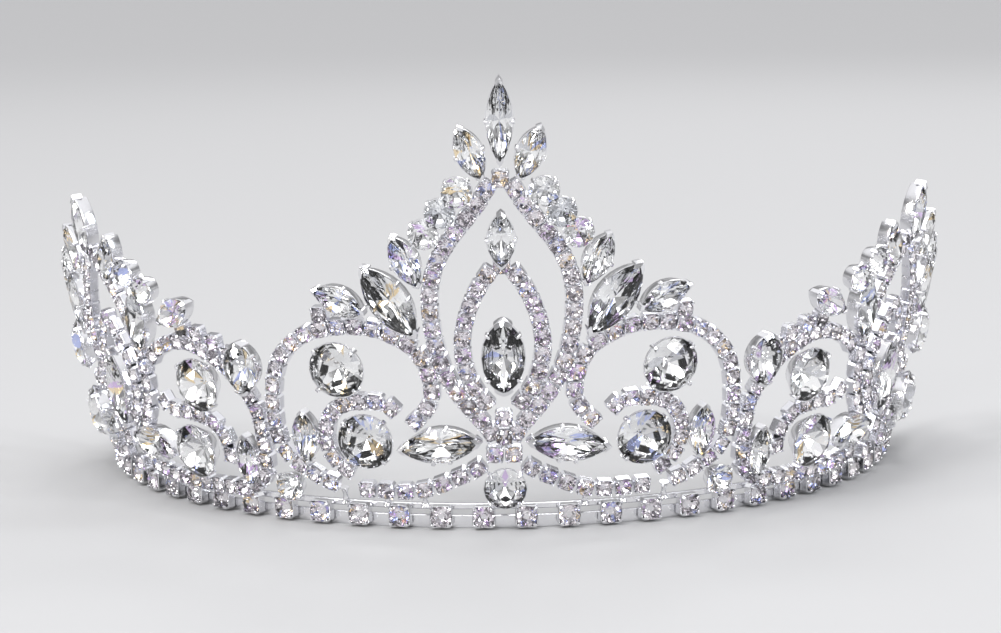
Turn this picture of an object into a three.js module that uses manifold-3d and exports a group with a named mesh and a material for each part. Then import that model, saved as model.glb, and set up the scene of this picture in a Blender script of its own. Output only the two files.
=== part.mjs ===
// Bridal tiara: a rhodium-plated frame of rhinestone cup chain and claw settings, standing on a
// ladder-cut band. Millimetres, +Z up, the front faces -Y.
//
// Everything lies on one shallow cone that flares outwards from the band. A place on that cone is
// given by s, the distance along the band from the centre front (+s is to the right of someone
// looking at the front), by h, the distance up the cone, and by out, the distance in front of it.
import * as THREE from 'three';
import { mergeVertices } from 'three/addons/utils/BufferGeometryUtils.js';
import Module from 'manifold-3d';

const wasm = await Module();
wasm.setup();

// Driving dimensions
const BAND_RADIUS = 72;
const FLARE = THREE.MathUtils.degToRad(11.6);
const BAND_END = 116.5;
const BAND_THICKNESS = 0.9;
const LOWER_RAIL_HEIGHT = 2.2;
const SLOT_HEIGHT = 1.0;
const UPPER_RAIL_HEIGHT = 1.0;
const BAND_HEIGHT = LOWER_RAIL_HEIGHT + SLOT_HEIGHT + UPPER_RAIL_HEIGHT;
const BAND_STEPS = 40;
const RUNG_PITCH = 7;
const RUNG_WIDTH = 1.4;
const RUNG_DEPTH = 0.72;
const RUNG_HEIGHT = BAND_HEIGHT - 1;
const END_RUNG_INSET = 0.8;

const CHAIN_PITCH = 3;
const CHAIN_WIDTH = 2.7;
const CHAIN_DEPTH = 2.6;
const CHAIN_PINCH = 0.72;
const BRACE_INSET = 0.75;
const MIN_KEPT = 0.98;
const SOLDER_GAP = 0.3;

const LOOP_RADIUS = 2.8;
const LOOP_WIRE = 0.6;
const LOOP_MIDDLE = 3.5;

const SIDE_CENTRE = 77;

// Settings. Scales are shares of the stone's outline; the rest are distances from the back of the
// cup or from its rim.
const FOOT_SCALE = 0.72;
const TABLE_SCALE = 0.6;
const CULET_SCALE = 0.5;
const WALL_DROP = 1.2;
const GIRDLE_DROP = 0.5;
const RIM_DROP = 0.3;
const SEAT_DROP = 0.9;
const CROWN_RISE = 0.5;
const CUP_FLOOR = 0.8;
const CULET_HEIGHT = 1.6;

const MERGE_TOLERANCE = 1e-4;
const ARC_DIVISIONS = 400;

const METAL = { color: 0xd9dade, roughness: 0.22, metalness: 1 };
const CRYSTAL = { color: 0xeaf0f6, roughness: 0.05, metalness: 0.1 };
const SET_STONE = { color: 0xdfe4ea, roughness: 0.12, metalness: 0.6 };

// The cone

function conePoint(s, h, out) {
  const angle = s / BAND_RADIUS;
  const radius = BAND_RADIUS + h * Math.sin(FLARE) + out * Math.cos(FLARE);
  const z = h * Math.cos(FLARE) - out * Math.sin(FLARE);
  return new THREE.Vector3(radius * Math.sin(angle), -radius * Math.cos(angle), z);
}

function coneNormal(point) {
  const flat = new THREE.Vector3(point.x, point.y, 0).normalize();
  return flat.multiplyScalar(Math.cos(FLARE)).add(new THREE.Vector3(0, 0, -Math.sin(FLARE)));
}

// Places an object at (s, h, out): its X runs along the band, its Y up the cone, its Z outwards.
// turn leans its upper end towards the right.
function place(object, s, h, out, turn = 0) {
  const angle = s / BAND_RADIUS;
  const along = new THREE.Vector3(Math.cos(angle), Math.sin(angle), 0);
  const position = conePoint(s, h, out);
  const outward = coneNormal(position);
  const up = new THREE.Vector3().crossVectors(outward, along);
  object.position.copy(position);
  object.quaternion.setFromRotationMatrix(new THREE.Matrix4().makeBasis(along, up, outward));
  object.rotateZ(-turn);
  object.updateMatrixWorld(true);
  return object;
}

// Geometry helpers

// Skins a row of rings that have the same number of points, and closes both ends with flat fans.
function loft(rings) {
  const count = rings[0].length;
  const positions = rings.flatMap((ring) => ring.flatMap((point) => [point.x, point.y, point.z]));
  const index = [];
  for (let row = 0; row + 1 < rings.length; row += 1) {
    for (let i = 0; i < count; i += 1) {
      const a = row * count + i;
      const b = row * count + ((i + 1) % count);
      index.push(a, b, b + count, a, b + count, a + count);
    }
  }
  const last = (rings.length - 1) * count;
  for (let i = 1; i + 1 < count; i += 1) {
    index.push(0, i + 1, i);
    index.push(last, last + i, last + i + 1);
  }
  const geometry = new THREE.BufferGeometry();
  geometry.setAttribute('position', new THREE.Float32BufferAttribute(positions, 3));
  geometry.setIndex(index);
  return geometry;
}

function toSolid(geometry) {
  const bare = geometry.clone();
  bare.deleteAttribute('normal');
  bare.deleteAttribute('uv');
  const merged = mergeVertices(bare, MERGE_TOLERANCE);
  const vertProperties = new Float32Array(merged.attributes.position.array);
  const triVerts = new Uint32Array(merged.index.array);
  return new wasm.Manifold(new wasm.Mesh({ numProp: 3, vertProperties, triVerts }));
}

function toGeometry(solid) {
  const mesh = solid.getMesh();
  const geometry = new THREE.BufferGeometry();
  geometry.setAttribute('position', new THREE.BufferAttribute(mesh.vertProperties, 3));
  geometry.setIndex(new THREE.BufferAttribute(mesh.triVerts, 1));
  geometry.computeVertexNormals();
  return geometry;
}

function largestPiece(solid) {
  return solid.decompose().reduce((best, piece) => (piece.volume() > best.volume() ? piece : best));
}

function meshOf(name, geometry, finish) {
  const mesh = new THREE.Mesh(geometry, new THREE.MeshStandardMaterial(finish));
  mesh.name = name;
  return mesh;
}

// Stones and settings: an outline in the XY plane, given as unit points, skinned through levels
// of [scale, height] with height outwards.

function roundOutline(width, length, sides) {
  const points = [];
  for (let i = 0; i < sides; i += 1) {
    const angle = (2 * Math.PI * i) / sides;
    points.push(new THREE.Vector2((width / 2) * Math.cos(angle), (length / 2) * Math.sin(angle)));
  }
  return points;
}

// Two equal arcs that meet in a point at each end, as a marquise stone has.
function navetteOutline(width, length, sides) {
  const halfWidth = width / 2;
  const halfLength = length / 2;
  const arcRadius = (halfLength ** 2 + halfWidth ** 2) / (2 * halfWidth);
  const reach = Math.asin(halfLength / arcRadius);
  const steps = sides / 2;
  const points = [];
  for (const side of [1, -1]) {
    for (let i = 0; i < steps; i += 1) {
      const angle = side * (-reach + (2 * reach * i) / steps);
      const x = side * (arcRadius * Math.cos(angle) - arcRadius + halfWidth);
      points.push(new THREE.Vector2(x, arcRadius * Math.sin(angle)));
    }
  }
  return points;
}

function stack(outline, levels) {
  return loft(levels.map(([scale, height]) => outline.map(
    (point) => new THREE.Vector3(point.x * scale, point.y * scale, height),
  )));
}

// A claw setting with its stone in it, seen as one body: a tapering cup, then the stone's crown.
function setStone(outline, depth) {
  return stack(outline, [[FOOT_SCALE, 0], [1, depth - WALL_DROP], [1, depth - GIRDLE_DROP],
    [TABLE_SCALE, depth + CROWN_RISE]]);
}

// The cup alone, open at the front.
function openCup(outline, depth, wall) {
  const width = Math.max(...outline.map((point) => point.x));
  const inner = (width - wall) / width;
  return stack(outline, [[FOOT_SCALE, 0], [1, depth - WALL_DROP], [1, depth - RIM_DROP],
    [inner, depth - RIM_DROP], [inner, depth - WALL_DROP], [inner * FOOT_SCALE, CUP_FLOOR]]);
}

// The loose stone that drops into that cup: culet, girdle and table.
function looseStone(outline, depth, wall) {
  const width = Math.max(...outline.map((point) => point.x));
  const girdle = (width - wall - SOLDER_GAP) / width;
  return stack(outline, [[girdle * CULET_SCALE, CULET_HEIGHT], [girdle, depth - SEAT_DROP],
    [girdle, depth - GIRDLE_DROP], [girdle * TABLE_SCALE, depth + CROWN_RISE]]);
}

// Cup chain: square cups on a pitch, pinched at the links, swept along a route on the cone.

function routeCurve(route) {
  return new THREE.CatmullRomCurve3(
    route.map(([s, h]) => conePoint(s, h, CHAIN_DEPTH / 2)), false, 'centripetal',
  );
}

function chainRing(curve, distance, length, scale, grow) {
  const at = THREE.MathUtils.clamp(distance / length, 0, 1);
  const centre = curve.getPointAt(at);
  const tangent = curve.getTangentAt(at);
  const overshoot = distance - at * length;
  centre.addScaledVector(tangent, overshoot);
  const normal = coneNormal(centre);
  normal.addScaledVector(tangent, -normal.dot(tangent)).normalize();
  const across = new THREE.Vector3().crossVectors(normal, tangent);
  const halfWidth = (CHAIN_WIDTH * scale) / 2 + grow;
  const halfDepth = (CHAIN_DEPTH * scale) / 2 + grow;
  return [[1, -1], [1, 1], [-1, 1], [-1, -1]].map(([u, v]) => centre.clone()
    .addScaledVector(across, u * halfWidth)
    .addScaledVector(normal, v * halfDepth));
}

function chainGeometry(route, grow = 0) {
  const curve = routeCurve(route);
  curve.arcLengthDivisions = ARC_DIVISIONS;
  const length = curve.getLength();
  const cups = Math.max(2, Math.round(length / CHAIN_PITCH));
  const pitch = length / cups;
  const rings = [];
  for (let cup = 0; cup < cups; cup += 1) {
    rings.push(chainRing(curve, cup * pitch - (cup === 0 ? grow : 0), length, CHAIN_PINCH, grow));
    rings.push(chainRing(curve, (cup + 0.5) * pitch, length, 1, grow));
  }
  rings.push(chainRing(curve, length + grow, length, CHAIN_PINCH, grow));
  return loft(rings);
}

// The band: two rails joined by rungs.

function railGeometry(bottom, height) {
  const rings = [];
  for (let step = 0; step <= BAND_STEPS; step += 1) {
    const s = -BAND_END + (2 * BAND_END * step) / BAND_STEPS;
    rings.push([[0, 0], [-BAND_THICKNESS, 0], [-BAND_THICKNESS, height], [0, height]].map(
      ([out, rise]) => {
        const point = conePoint(s, 0, out / Math.cos(FLARE));
        point.z = bottom + rise;
        return point;
      },
    ));
  }
  return loft(rings);
}

function rungSolid(s) {
  const rung = new THREE.BoxGeometry(RUNG_WIDTH, RUNG_DEPTH, RUNG_HEIGHT);
  const angle = s / BAND_RADIUS;
  const radius = BAND_RADIUS - BAND_THICKNESS / 2;
  rung.rotateZ(angle);
  rung.translate(radius * Math.sin(angle), -radius * Math.cos(angle), BAND_HEIGHT / 2);
  return toSolid(rung);
}

function baseBand() {
  let band = toSolid(railGeometry(0, LOWER_RAIL_HEIGHT));
  band = band.add(toSolid(railGeometry(LOWER_RAIL_HEIGHT + SLOT_HEIGHT, UPPER_RAIL_HEIGHT)));
  for (let s = RUNG_PITCH / 2; s < BAND_END; s += RUNG_PITCH) {
    band = band.add(rungSolid(s)).add(rungSolid(-s));
  }
  const endRung = BAND_END - END_RUNG_INSET;
  band = band.add(rungSolid(endRung)).add(rungSolid(-endRung));
  return meshOf('base_band', toGeometry(band), METAL);
}

// A ring of wire at each end of the band, which a hairpin goes through.
function endLoop(side, name) {
  const reach = BAND_END + SOLDER_GAP + LOOP_RADIUS + LOOP_WIRE;
  const loop = meshOf(name, new THREE.TorusGeometry(LOOP_RADIUS, LOOP_WIRE, 6, 16), METAL);
  return place(loop, side * reach, LOOP_MIDDLE, -BAND_THICKNESS / 2);
}

// Routes, as [s, h] for the right-hand half of a motif whose centre line is s = 0.

const OUTER_ARCH = [[0.9, 61], [2.9, 57.6], [5.2, 54], [7.1, 51.2], [8.7, 48.2], [9.7, 45.4],
  [10.3, 42.2], [10.4, 39], [10.2, 35.8], [9.7, 32.4], [9, 29.6], [8, 27], [6.7, 24.5], [5, 22],
  [3.4, 19.9], [1.9, 17.6], [1.6, 16.4]];
const INNER_LOOP = [[0.9, 46.6], [2.3, 44.8], [3.6, 42.4], [4.7, 39.6], [5.5, 36.6], [5.9, 33.4],
  [5.7, 30.4], [5, 27.4], [3.8, 24.8], [1.9, 22.2]];
const BOTTOM_LEG = [[3, 12.4], [4.9, 11], [7.5, 9.7], [10.1, 8.5], [13, 7.5], [16.5, 7.1],
  [20, 7.2], [24, 7.2]];
const WING_ARCH = [[14.6, 18.8], [12.4, 21.1], [10.9, 23.8], [10.9, 26.6], [11.5, 29.4],
  [12.9, 32.2], [15.7, 34.4], [19.2, 35.9], [24, 36.1], [29.2, 34.9], [32.8, 32.5], [35.2, 29.6],
  [36.6, 26], [37.3, 22], [37.5, 18], [37, 14.6], [35.2, 12], [32.6, 10.2], [29.8, 8.6],
  [27.2, 7.7]];
const SWIRL = [[16.5, 20.9], [17.6, 22.3], [19.4, 23], [21.8, 23], [24.4, 22.6], [26.6, 21.2],
  [28, 19], [28.5, 15.9], [27.8, 13.2], [26.2, 11.2], [24.4, 10.1]];
const SIDE_OUTER_ARCH = [[0.6, 44.8], [3.3, 41.9], [6.1, 38.2], [8.4, 34], [9.8, 30], [10.3, 26],
  [10.1, 22], [9, 18], [6.8, 14.5], [4.4, 11.5], [2.6, 8.2]];
const SIDE_INNER_LOOP = [[0.9, 32.6], [3.1, 29.8], [4.9, 26.6], [5.9, 23.2], [5.7, 19.6],
  [4.3, 16.4], [2.1, 13.6]];
const SIDE_WING_ARCH = [[12.9, 26.6], [14.6, 28.4], [17.6, 30], [21, 31], [24.4, 31], [27.6, 29.8],
  [30.6, 28], [33, 25.8], [35, 23], [36.3, 19.8], [36.6, 16], [36.6, 12], [36.2, 9.2], [34.4, 7],
  [31.6, 5.7], [28, 5.3], [24, 5.2], [20, 5.2], [16, 5.3], [12, 5.6], [8, 6.2], [6, 6.9]];
const SIDE_SWIRL = [[13.8, 20.8], [15, 18.9], [17.4, 18.2], [20, 18.2], [22.8, 18], [25.6, 17.4],
  [28.2, 15.2], [29.1, 12.2], [28.9, 9.6]];

// One half of a route, moved to a motif's centre line and, where reach is -1, turned over.
function half(route, centre, reach) {
  return route.map(([s, h]) => [centre + reach * s, h]);
}

// Both halves, as one chain bent over at the top.
function bentOver(route, centre) {
  return [...half(route, centre, -1).reverse(), ...half(route, centre, 1)];
}

// Stone outlines and setting depths

const BIG_ROUND = roundOutline(9.8, 9.8, 12);
const BASE_ROUND = roundOutline(7.4, 7.4, 12);
const ROW_ROUND = roundOutline(3, 3, 8);
const SMALL_ROUND = roundOutline(5.4, 5.4, 8);
const JUNCTION_OVAL = roundOutline(6.6, 8.8, 12);
const OVAL = roundOutline(7.2, 12.8, 12);
const LARGE_NAVETTE = navetteOutline(6.8, 14.6, 12);
const LEVEL_NAVETTE = navetteOutline(6.2, 13.8, 12);
const MID_NAVETTE = navetteOutline(5.8, 12, 12);
const SMALL_NAVETTE = navetteOutline(4.7, 9.6, 12);
const SPIRE_NAVETTE = navetteOutline(4.6, 14.6, 12);
const SIDE_SPIRE_NAVETTE = navetteOutline(4.8, 11.8, 12);
const BIG_DEPTH = 4.6;
const MID_DEPTH = 3.8;
const SMALL_DEPTH = 3.2;
const CUP_WALL = 0.5;
const SIDES = [[-1, 'left'], [1, 'right']];
const REACHES = [[-1, 'front'], [1, 'rear']];

// Stones soldered to a chain and made one body with it, as [outline, depth, s, h, turn] for the
// right-hand half of a motif whose centre line is s = 0.

const WING_ARCH_STONES = [[ROW_ROUND, SMALL_DEPTH, 27.3, 38, 0]];
const SWIRL_STONES = [[SMALL_NAVETTE, SMALL_DEPTH, 31.7, 16.4, 0]];
const SIDE_SPIRE = [SIDE_SPIRE_NAVETTE, SMALL_DEPTH, 0, 49.8, 0];
const SIDE_CREST_STONES = [
  [SMALL_NAVETTE, SMALL_DEPTH, 7.2, 45, 25],
  [SMALL_ROUND, SMALL_DEPTH, 11.8, 42.6, 0],
  [SMALL_ROUND, SMALL_DEPTH, 16, 39.9, 0],
  [MID_NAVETTE, MID_DEPTH, 12.9, 34.4, 8],
  [LEVEL_NAVETTE, MID_DEPTH, 10.1, 11, 96],
];
const SIDE_INNER_STONES = [[LARGE_NAVETTE, MID_DEPTH, 0, 19.8, 0]];
const SIDE_ARCH_STONES = [
  [SMALL_NAVETTE, SMALL_DEPTH, 22.5, 36.6, 65],
  [ROW_ROUND, SMALL_DEPTH, 23, 33.5, 0],
  [ROW_ROUND, SMALL_DEPTH, 26.2, 32.9, 0],
  [ROW_ROUND, SMALL_DEPTH, 29.5, 31.7, 0],
  [ROW_ROUND, SMALL_DEPTH, 32.4, 29.8, 0],
  [SMALL_NAVETTE, SMALL_DEPTH, 33.3, 11, 0],
];
const SHOULDER_STONES = [
  [SMALL_ROUND, SMALL_DEPTH, 5.8, 59.4, 0],
  [SMALL_ROUND, SMALL_DEPTH, 8.2, 55.9, 0],
  [SMALL_ROUND, SMALL_DEPTH, 10.6, 52.4, 0],
];

// Wires behind the stones that hang clear of their strand, as routes like the strands' own.
const SIDE_CREST_BRACES = [
  [[7.2, 45], [9.5, 43.9], [11.8, 42.6], [13.9, 41.3], [16, 39.9]],
  [[8.4, 34.1], [9.9, 34.2], [11.4, 34.3], [12.9, 34.4]],
];
const SIDE_ARCH_BRACES = [[[31, 28], [31.5, 28.6], [32, 29.2], [32.4, 29.8]]];

function soldered(list, centre, reach) {
  return list.map(([outline, depth, s, h, turn]) => [outline, depth, centre + reach * s, h,
    reach * turn]);
}

const stones = [];

function addStone(name, geometry, finish, s, h, turn = 0, out = 0) {
  const mesh = meshOf(name, geometry, finish);
  stones.push(place(mesh, s, h, out, THREE.MathUtils.degToRad(turn)));
}

function addCupAndStone(name, outline, depth, s, h) {
  addStone(`${name}_setting`, openCup(outline, depth, CUP_WALL), METAL, s, h);
  addStone(`${name}_stone`, looseStone(outline, depth, CUP_WALL), CRYSTAL, s, h);
}

function addSetStone(name, outline, depth, s, h, turn = 0, out = 0) {
  addStone(name, setStone(outline, depth), SET_STONE, s, h, turn, out);
}

function addCentreStones() {
  addCupAndStone('centre_base_round', BASE_ROUND, MID_DEPTH, 0, 8.2);
  addCupAndStone('centre_oval', OVAL, MID_DEPTH, 0, 31.4);
  addSetStone('centre_small_navette', SMALL_NAVETTE, SMALL_DEPTH, 0, 51.5);
  addSetStone('centre_spire_navette', SPIRE_NAVETTE, SMALL_DEPTH, 0, 71.2);
}

function addWingStones(side, word) {
  addCupAndStone(`${word}_upper_round`, BIG_ROUND, BIG_DEPTH, side * 24.9, 29.1);
  for (const [name, outline, depth, s, h, turn, out] of [
    ['lower_round', BIG_ROUND, BIG_DEPTH, 21.5, 16.6, 0, 0],
    ['crest_navette', SMALL_NAVETTE, SMALL_DEPTH, 4, 65.9, 22, 0],
    ['level_navette', LEVEL_NAVETTE, MID_DEPTH, 10.1, 15.9, 96, 0],
    ['fan_large_navette', LARGE_NAVETTE, MID_DEPTH, 16.2, 41.1, 35, 0],
    ['fan_upper_navette', SMALL_NAVETTE, SMALL_DEPTH, 13.5, 47.9, 25, 0],
    ['fan_outer_navette', SMALL_NAVETTE, SMALL_DEPTH, 23.8, 40.8, 65, 0],
    ['junction_oval', JUNCTION_OVAL, MID_DEPTH, 39.8, 29.2, 0, CHAIN_DEPTH + SOLDER_GAP],
    ['junction_round', SMALL_ROUND, SMALL_DEPTH, 36, 7.1, 0, 0],
  ]) {
    addSetStone(`${word}_${name}`, outline, depth, side * s, h, side * turn, out);
  }
}

function addSideStones(side, word) {
  for (const [reach, part] of REACHES) {
    addSetStone(`${word}_side_${part}_upper_round`, BIG_ROUND, BIG_DEPTH,
      side * (SIDE_CENTRE + reach * 25.7), 24.2);
    addSetStone(`${word}_side_${part}_lower_round`, BIG_ROUND, BIG_DEPTH,
      side * (SIDE_CENTRE + reach * 22.4), 11.7);
  }
}

// Chains, some with stones soldered to them. Each is cut clear of the pieces that are already
// there, because the real ones are laid edge to edge and their solder is thinner than the gap.

const placed = [];

function boxOf(solid) {
  const { min, max } = solid.boundingBox();
  return new THREE.Box3(new THREE.Vector3(...min), new THREE.Vector3(...max));
}

function addPlaced(grown) {
  placed.push({ grown, box: boxOf(grown) });
}

function cutClear(solid) {
  const box = boxOf(solid);
  const near = placed.filter((other) => other.box.intersectsBox(box));
  const cut = near.reduce((rest, other) => rest.subtract(other.grown), solid);
  const kept = largestPiece(cut);
  if (kept.volume() < MIN_KEPT * solid.volume()) {
    throw new Error('a stone or a length of chain has come loose from its strand');
  }
  return kept;
}

function worldSolid(mesh, grow = 0) {
  const geometry = mesh.geometry.clone();
  if (grow > 0) {
    geometry.computeBoundingBox();
    const size = geometry.boundingBox.getSize(new THREE.Vector3());
    const middle = geometry.boundingBox.getCenter(new THREE.Vector3());
    geometry.translate(-middle.x, -middle.y, -middle.z);
    geometry.scale(1 + (2 * grow) / size.x, 1 + (2 * grow) / size.y, 1 + (2 * grow) / size.z);
    geometry.translate(middle.x, middle.y, middle.z);
  }
  return toSolid(geometry.applyMatrix4(mesh.matrixWorld));
}

function stoneBodies(name, extras) {
  return extras.map(([outline, depth, s, h, turn]) => place(
    meshOf(name, setStone(outline, depth), SET_STONE), s, h, 0, THREE.MathUtils.degToRad(turn),
  ));
}

function wires(routes, grow) {
  return routes.map((route) => toSolid(chainGeometry(route, grow)));
}

// extras are set stones, and braces routes of wire, that are one body with the chain.
function chainMesh(name, route, extras = [], braces = []) {
  const bodies = stoneBodies(name, extras);
  const whole = [...wires([route], 0), ...wires(braces, -BRACE_INSET),
    ...bodies.map((body) => worldSolid(body))].reduce((sum, next) => sum.add(next));
  const grown = [...wires([route], SOLDER_GAP), ...wires(braces, SOLDER_GAP - BRACE_INSET),
    ...bodies.map((body) => worldSolid(body, SOLDER_GAP))].reduce((sum, next) => sum.add(next));
  const solid = cutClear(whole);
  addPlaced(grown);
  return meshOf(name, toGeometry(solid), METAL);
}

function centreChains() {
  const meshes = [
    chainMesh('centre_outer_arch', bentOver(OUTER_ARCH, 0)),
    chainMesh('centre_inner_loop', bentOver(INNER_LOOP, 0)),
  ];
  for (const [side, word] of SIDES) {
    meshes.push(chainMesh(`${word}_bottom_leg`, half(BOTTOM_LEG, 0, side)));
    meshes.push(chainMesh(`${word}_wing_arch`, half(WING_ARCH, 0, side),
      soldered(WING_ARCH_STONES, 0, side)));
    meshes.push(chainMesh(`${word}_swirl`, half(SWIRL, 0, side),
      soldered(SWIRL_STONES, 0, side)));
  }
  return meshes;
}

function sideChains(side, word) {
  const centre = side * SIDE_CENTRE;
  const crest = [SIDE_SPIRE, ...soldered(SIDE_CREST_STONES, 0, -1),
    ...soldered(SIDE_CREST_STONES, 0, 1)];
  const meshes = [
    chainMesh(`${word}_side_crest`, bentOver(SIDE_OUTER_ARCH, centre), soldered(crest, centre, 1),
      REACHES.flatMap(([reach]) => SIDE_CREST_BRACES.map((brace) => half(brace, centre, reach)))),
    chainMesh(`${word}_side_inner_loop`, bentOver(SIDE_INNER_LOOP, centre),
      soldered(SIDE_INNER_STONES, centre, 1)),
  ];
  for (const [reach, part] of REACHES) {
    meshes.push(chainMesh(`${word}_side_${part}_arch`, half(SIDE_WING_ARCH, centre, side * reach),
      soldered(SIDE_ARCH_STONES, centre, side * reach),
      SIDE_ARCH_BRACES.map((brace) => half(brace, centre, side * reach))));
    meshes.push(chainMesh(`${word}_side_${part}_swirl`,
      half(SIDE_SWIRL, centre, side * reach)));
  }
  return meshes;
}

// The three small rounds down each shoulder of the centre arch, soldered into a row.
function shoulderRounds(side, word) {
  const name = `${word}_shoulder_rounds`;
  const row = stoneBodies(name, soldered(SHOULDER_STONES, 0, side));
  addPlaced(row.map((body) => worldSolid(body, SOLDER_GAP)).reduce((sum, next) => sum.add(next)));
  const solid = row.map((body) => worldSolid(body)).reduce((sum, next) => sum.add(next));
  return meshOf(name, toGeometry(solid), SET_STONE);
}

function buildTiara() {
  const tiara = new THREE.Group();
  addCentreStones();
  for (const [side, word] of SIDES) {
    addWingStones(side, word);
    addSideStones(side, word);
  }
  const band = baseBand();
  tiara.add(band, ...stones);
  addPlaced(toSolid(railGeometry(-SOLDER_GAP, BAND_HEIGHT + 2 * SOLDER_GAP)));
  for (const stone of stones) {
    addPlaced(worldSolid(stone, SOLDER_GAP));
  }
  for (const [side, word] of SIDES) {
    tiara.add(shoulderRounds(side, word), endLoop(side, `${word}_hairpin_loop`));
  }
  tiara.add(...centreChains());
  for (const [side, word] of SIDES) {
    tiara.add(...sideChains(side, word));
  }
  return tiara;
}

// The origin is the middle of the box's underside.
function centred(tiara) {
  tiara.updateMatrixWorld(true);
  const box = new THREE.Box3().setFromObject(tiara, true);
  const middle = box.getCenter(new THREE.Vector3());
  tiara.position.set(-middle.x, -middle.y, -box.min.z);
  return tiara;
}

export default centred(buildTiara());
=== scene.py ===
"""Bridal tiara: cut stones, claw settings, cup chain and a ladder-cut band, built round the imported
part. Lengths in the tables are millimetres on the tiara's own cone, as the part has them: s along
the band from the centre front, h up the cone, out in front of it."""
import math
import random

import bmesh
import bpy
from mathutils import Matrix, Vector


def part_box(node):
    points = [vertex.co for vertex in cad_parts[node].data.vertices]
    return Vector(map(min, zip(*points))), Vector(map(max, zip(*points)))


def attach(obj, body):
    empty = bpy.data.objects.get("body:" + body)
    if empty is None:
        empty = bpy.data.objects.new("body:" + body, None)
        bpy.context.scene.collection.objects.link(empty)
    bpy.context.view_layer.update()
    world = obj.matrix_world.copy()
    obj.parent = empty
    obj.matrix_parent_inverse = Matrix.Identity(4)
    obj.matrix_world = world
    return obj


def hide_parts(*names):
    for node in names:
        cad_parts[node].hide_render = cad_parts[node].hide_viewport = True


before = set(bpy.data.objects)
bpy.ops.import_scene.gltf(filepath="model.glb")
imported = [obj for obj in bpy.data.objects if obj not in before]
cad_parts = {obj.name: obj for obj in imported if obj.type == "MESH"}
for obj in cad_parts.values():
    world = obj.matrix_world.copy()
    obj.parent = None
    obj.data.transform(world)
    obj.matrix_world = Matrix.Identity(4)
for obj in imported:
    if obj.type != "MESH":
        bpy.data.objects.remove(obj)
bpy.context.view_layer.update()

MM = 0.001
BAND_RADIUS = 72.0
FLARE = math.radians(11.6)
BAND_END = 116.5
BAND_THICKNESS = 0.9
LOWER_RAIL = 2.2
SLOT = 1.0
UPPER_RAIL = 1.0
BAND_HEIGHT = LOWER_RAIL + SLOT + UPPER_RAIL
RUNG_PITCH = 7.0
RUNG_WIDTH = 1.4
RUNG_OVERLAP = 0.2
END_RUNG = BAND_END - 0.8
LOOP_WIRE = 0.6
CHAIN_PITCH = 3.0
SIDE_CENTRE = 77.0
SIDES = ((-1, "left"), (1, "right"))
REACHES = ((-1, "front"), (1, "rear"))

# The band's outer face is one band radius from the cone's axis, so its box gives the axis.
AXIS_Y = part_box("base_band")[0].y / MM + BAND_RADIUS
RANDOM = random.Random(7)


# ---------------------------------------------------------------- the cone

def cone_point(s, h, out=0.0):
    angle = s / BAND_RADIUS
    radius = BAND_RADIUS + h * math.sin(FLARE) + out * math.cos(FLARE)
    z = h * math.cos(FLARE) - out * math.sin(FLARE)
    return Vector((radius * math.sin(angle), AXIS_Y - radius * math.cos(angle), z))


def cone_normal(point):
    flat = Vector((point.x, point.y - AXIS_Y, 0)).normalized()
    return flat * math.cos(FLARE) - Vector((0, 0, math.sin(FLARE)))


def seat(s, h, turn=0.0, out=0.0):
    """The matrix of a setting at (s, h): X along the band, Y up the cone, Z outwards. turn leans its
    top to the right, in degrees."""
    point = cone_point(s, h, out)
    outward = cone_normal(point)
    along = Vector((math.cos(s / BAND_RADIUS), math.sin(s / BAND_RADIUS), 0))
    up = outward.cross(along)
    basis = Matrix((along, up, outward)).transposed().to_4x4()
    lean = Matrix.Rotation(math.radians(-turn), 4, "Z")
    return Matrix.Translation(point) @ basis @ lean


def node_seat(node):
    """(s, h) of a CAD setting, from the middle of its vertices."""
    points = [v.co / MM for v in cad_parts[node].data.vertices]
    middle = sum(points, Vector()) / len(points)
    reach = Vector((middle.x, middle.y - AXIS_Y))
    angle = math.atan2(reach.x, -reach.y)
    rise = reach.length - BAND_RADIUS
    return angle * BAND_RADIUS, middle.z * math.cos(FLARE) + rise * math.sin(FLARE)


# ---------------------------------------------------------------- mesh gathering

class Pile:
    """Collects copies of small meshes, and turns them into one Blender object."""

    def __init__(self):
        self.verts = []
        self.faces = []
        self.slots = []

    def add(self, shape, matrix=None):
        verts, faces, slots = shape
        base = len(self.verts)
        matrix = matrix or Matrix.Identity(4)
        self.verts.extend((matrix @ Vector(v)) * MM for v in verts)
        self.faces.extend(tuple(i + base for i in face) for face in faces)
        self.slots.extend(slots)

    def piece(self, name, materials, slot, smooth=None):
        mesh = bpy.data.meshes.new(name)
        mesh.from_pydata(self.verts, [], self.faces)
        for material in materials:
            mesh.materials.append(material)
        mesh.polygons.foreach_set("material_index", self.slots)
        shell = bmesh.new()
        shell.from_mesh(mesh)
        bmesh.ops.recalc_face_normals(shell, faces=shell.faces)
        shell.to_mesh(mesh)
        shell.free()
        if smooth is not None:
            mesh.shade_smooth()
            mesh.set_sharp_from_angle(angle=math.radians(smooth))
        obj = bpy.data.objects.new(name, mesh)
        bpy.context.scene.collection.objects.link(obj)
        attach(obj, "root")
        return obj


def merged(*shapes):
    verts, faces, slots = [], [], []
    for shape_verts, shape_faces, shape_slots in shapes:
        base = len(verts)
        verts += list(shape_verts)
        faces += [tuple(i + base for i in face) for face in shape_faces]
        slots += list(shape_slots)
    return verts, faces, slots


def skinned(rings):
    """Skins rings of equally many points and caps both ends, all in material slot 0."""
    count = len(rings[0])
    verts = [point for ring in rings for point in ring]
    faces = []
    for row in range(len(rings) - 1):
        for i in range(count):
            a = row * count + i
            b = row * count + (i + 1) % count
            faces.append((a, b, b + count, a + count))
    faces.append(tuple(reversed(range(count))))
    faces.append(tuple(range((len(rings) - 1) * count, len(rings) * count)))
    return verts, faces, [0] * len(faces)


# ---------------------------------------------------------------- outlines

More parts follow.
